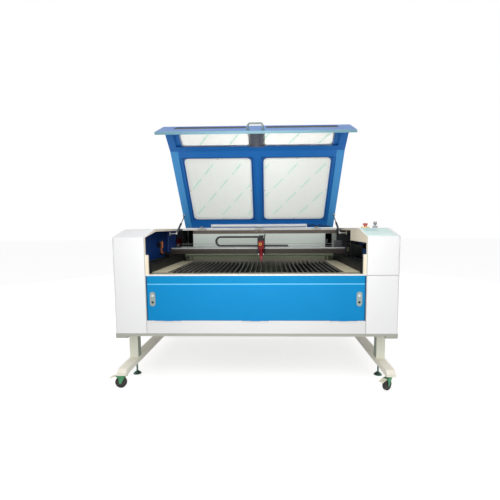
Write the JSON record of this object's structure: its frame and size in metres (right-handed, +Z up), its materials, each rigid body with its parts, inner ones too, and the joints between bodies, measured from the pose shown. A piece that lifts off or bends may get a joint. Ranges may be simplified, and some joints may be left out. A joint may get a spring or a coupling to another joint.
{
  "type": "laser cutting machine",
  "caption": "Enclosed flying-optics laser cutter: blade table, belt gantry with red lens head, strut-held lid, drop-down front door and a wheeled stand.",
  "frame": {"origin": "floor level under the middle of the bounding box, standing on the levelling feet", "axes": "+X to the right seen from the front, +Y to the back, +Z up"},
  "size_m": [1.918, 1.5426, 1.8143],
  "materials": {
    "white_paint": "satin white powder coat",
    "ivory_paint": "satin ivory powder coat",
    "grey_paint": "satin grey paint",
    "blue_paint": "satin blue powder coat",
    "lid_paint": "satin blue powder coat",
    "film_acrylic": "acrylic under protective film",
    "dark_steel": "dark ground steel",
    "zinc_sheet": "galvanised sheet",
    "panel_film": "matt membrane",
    "switch_yellow": "matt yellow",
    "button_red": "gloss red",
    "key_steel": "brushed",
    "chain_plastic": "matt black",
    "hose_rubber": "matt black",
    "zinc_plate": "bright zinc",
    "tube_glass": "clear",
    "red_anodised": "red anodised",
    "orange_anodised": "orange anodised",
    "bare_aluminium": "satin",
    "motor_black": "matt black",
    "shaft_steel": "ground",
    "handle_metal": "satin chrome",
    "strut_black": "gloss black",
    "rod_chrome": "polished",
    "lock_chrome": "satin chrome",
    "fork_zinc": "green passivated zinc",
    "wheel_rubber": "matt black",
    "pedal_cream": "matt cream",
    "foot_zinc": "zinc plated"
  },
  "bodies": {
    "machine": {"base_frame": "ivory_paint", "stand_posts": "ivory_paint", "foot_runners": "ivory_paint", "left_cabinet": "white_paint", "right_cabinet": "white_paint", "right_lower_cover": "white_paint", "inner_walls": "ivory_paint", "rear_wall": "grey_paint", "rear_cover": "white_paint", "front_panels": "blue_paint", "table_frame": "ivory_paint", "knife_blades": "dark_steel", "debris_tray": "zinc_sheet", "y_rails": "dark_steel", "control_panel": "panel_film", "switch_bodies": "switch_yellow", "y_chain": "chain_plastic", "fixed_brackets": "zinc_plate", "laser_tube": "tube_glass", "tube_mounts": "red_anodised"},
    "lid": {"lid_shell": "lid_paint", "lid_panes": "film_acrylic", "lid_handle": "handle_metal", "lamp_bar": "bare_aluminium", "lamp_lead": "hose_rubber", "lid_brackets": "zinc_plate"},
    "left_strut": {"left_strut_cylinder": "strut_black"},
    "left_rod": {"left_strut_rod": "rod_chrome"},
    "right_strut": {"right_strut_cylinder": "strut_black"},
    "right_rod": {"right_strut_rod": "rod_chrome"},
    "gantry": {"gantry_beam": "bare_aluminium", "gantry_trucks": "bare_aluminium", "x_drive": "motor_black", "gantry_mirror": "orange_anodised", "x_chain": "chain_plastic"},
    "drive_shaft": {"y_drive_shaft": "shaft_steel"},
    "head": {"head_carriage": "bare_aluminium", "laser_head": "red_anodised", "air_hose": "hose_rubber"},
    "lens": {"lens_tube": "red_anodised"},
    "door": {"front_door": "blue_paint", "door_locks": "lock_chrome"},
    "left_button": {"left_lock_button": "lock_chrome"},
    "right_button": {"right_lock_button": "lock_chrome"},
    "estop": {"estop_button": "button_red"},
    "key": {"laser_key": "key_steel"},
    "fork_fl": {"caster_fork_fl": "fork_zinc"},
    "wheel_fl": {"caster_wheel_fl": "wheel_rubber"},
    "foot_fl": {"level_foot_fl": "foot_zinc"},
    "fork_fr": {"caster_fork_fr": "fork_zinc"},
    "wheel_fr": {"caster_wheel_fr": "wheel_rubber"},
    "foot_fr": {"level_foot_fr": "foot_zinc"},
    "fork_rl": {"caster_fork_rl": "fork_zinc"},
    "wheel_rl": {"caster_wheel_rl": "wheel_rubber"},
    "foot_rl": {"level_foot_rl": "foot_zinc"},
    "fork_rr": {"caster_fork_rr": "fork_zinc"},
    "wheel_rr": {"caster_wheel_rr": "wheel_rubber"},
    "foot_rr": {"level_foot_rr": "foot_zinc"},
    "pedal_fl": {"brake_pedal_fl": "pedal_cream"},
    "pedal_fr": {"brake_pedal_fr": "pedal_cream"}
  },
  "joints": [
    {"name": "lid_hinge", "type": "hinge", "parent": "machine", "child": "lid", "pos_m": [0.009, 0.45934, 1.0475], "axis": [1, 0, 0], "range_deg": [0, 50.9]},
    {"name": "left_strut_swing", "type": "hinge", "parent": "machine", "child": "left_strut", "pos_m": [-0.667, 0.01634, 1.011], "axis": [1, 0, 0], "range_deg": [-22.85, 0.5]},
    {"name": "left_rod_slide", "type": "slide", "parent": "left_strut", "child": "left_rod", "axis": [0, 0.8933, 0.4495], "range_m": [-0.08989, 0.0005]},
    {"name": "right_strut_swing", "type": "hinge", "parent": "machine", "child": "right_strut", "pos_m": [0.685, 0.01634, 1.011], "axis": [1, 0, 0], "range_deg": [-22.85, 0.5]},
    {"name": "right_rod_slide", "type": "slide", "parent": "right_strut", "child": "right_rod", "axis": [0, 0.8933, 0.4495], "range_m": [-0.08989, 0.0005]},
    {"name": "gantry_slide", "type": "slide", "parent": "machine", "child": "gantry", "axis": [0, 1, 0], "range_m": [-0.44, 0.23], "deforming": ["y_chain"]},
    {"name": "shaft_turn", "type": "hinge", "parent": "machine", "child": "drive_shaft", "pos_m": [0.009, 0.42134, 0.79], "axis": [1, 0, 0], "range_deg": [-1203, 630]},
    {"name": "head_slide", "type": "slide", "parent": "gantry", "child": "head", "axis": [1, 0, 0], "range_m": [-0.58, 0.54], "deforming": ["x_chain"]},
    {"name": "lens_focus", "type": "slide", "parent": "head", "child": "lens", "axis": [0, 0, -1], "range_m": [-0.008, 0.012]},
    {"name": "door_hinge", "type": "hinge", "parent": "machine", "child": "door", "pos_m": [0.009, -0.63166, 0.4385], "axis": [1, 0, 0], "range_deg": [0, 90]},
    {"name": "left_lock_press", "type": "slide", "parent": "door", "child": "left_button", "axis": [0, 1, 0], "range_m": [0, 0.003], "stiffness_N_per_m": 500},
    {"name": "right_lock_press", "type": "slide", "parent": "door", "child": "right_button", "axis": [0, 1, 0], "range_m": [0, 0.003], "stiffness_N_per_m": 500},
    {"name": "estop_press", "type": "slide", "parent": "machine", "child": "estop", "axis": [0, 0, -1], "range_m": [0, 0.006], "stiffness_N_per_m": 900},
    {"name": "key_turn", "type": "hinge", "parent": "machine", "child": "key", "pos_m": [0.882, -0.29866, 1.051], "axis": [0, 0, 1], "range_deg": [0, 90]},
    {"name": "caster_swivel_fl", "type": "hinge", "parent": "machine", "child": "fork_fl", "pos_m": [-0.865, -0.69866, 0.098], "axis": [0, 0, 1], "continuous": true},
    {"name": "wheel_spin_fl", "type": "hinge", "parent": "fork_fl", "child": "wheel_fl", "pos_m": [-0.887, -0.69866, 0.0385], "axis": [0, 1, 0], "continuous": true},
    {"name": "brake_press_fl", "type": "hinge", "parent": "fork_fl", "child": "pedal_fl", "pos_m": [-0.909, -0.69866, 0.079], "axis": [0, -1, 0], "range_deg": [0, 10]},
    {"name": "caster_swivel_fr", "type": "hinge", "parent": "machine", "child": "fork_fr", "pos_m": [0.883, -0.69866, 0.098], "axis": [0, 0, 1], "continuous": true},
    {"name": "wheel_spin_fr", "type": "hinge", "parent": "fork_fr", "child": "wheel_fr", "pos_m": [0.86615, -0.7128, 0.0385], "axis": [-0.6428, 0.766, 0], "continuous": true},
    {"name": "brake_press_fr", "type": "hinge", "parent": "fork_fr", "child": "pedal_fr", "pos_m": [0.84929, -0.72694, 0.079], "axis": [0.6428, -0.766, 0], "range_deg": [0, 10]},
    {"name": "caster_swivel_rl", "type": "hinge", "parent": "machine", "child": "fork_rl", "pos_m": [-0.865, 0.61134, 0.098], "axis": [0, 0, 1], "continuous": true},
    {"name": "wheel_spin_rl", "type": "hinge", "parent": "fork_rl", "child": "wheel_rl", "pos_m": [-0.887, 0.61134, 0.0385], "axis": [0, 1, 0], "continuous": true},
    {"name": "caster_swivel_rr", "type": "hinge", "parent": "machine", "child": "fork_rr", "pos_m": [0.883, 0.61134, 0.098], "axis": [0, 0, 1], "continuous": true},
    {"name": "wheel_spin_rr", "type": "hinge", "parent": "fork_rr", "child": "wheel_rr", "pos_m": [0.861, 0.61134, 0.0385], "axis": [0, 1, 0], "continuous": true},
    {"name": "foot_screw_fl", "type": "slide", "parent": "machine", "child": "foot_fl", "axis": [0, 0, -1], "range_m": [0, 0.025]},
    {"name": "foot_screw_fr", "type": "slide", "parent": "machine", "child": "foot_fr", "axis": [0, 0, -1], "range_m": [0, 0.025]},
    {"name": "foot_screw_rl", "type": "slide", "parent": "machine", "child": "foot_rl", "axis": [0, 0, -1], "range_m": [0, 0.025]},
    {"name": "foot_screw_rr", "type": "slide", "parent": "machine", "child": "foot_rr", "axis": [0, 0, -1], "range_m": [0, 0.025]}
  ],
  "couplings": [
    {"joint": "left_strut_swing", "follows": "lid_hinge", "ratio": -0.43914},
    {"joint": "left_rod_slide", "follows": "lid_hinge", "m_per_rad": -0.10063},
    {"joint": "right_strut_swing", "follows": "lid_hinge", "ratio": -0.43914},
    {"joint": "right_rod_slide", "follows": "lid_hinge", "m_per_rad": -0.10063},
    {"joint": "shaft_turn", "follows": "gantry_slide", "rad_per_m": 47.619}
  ]
}
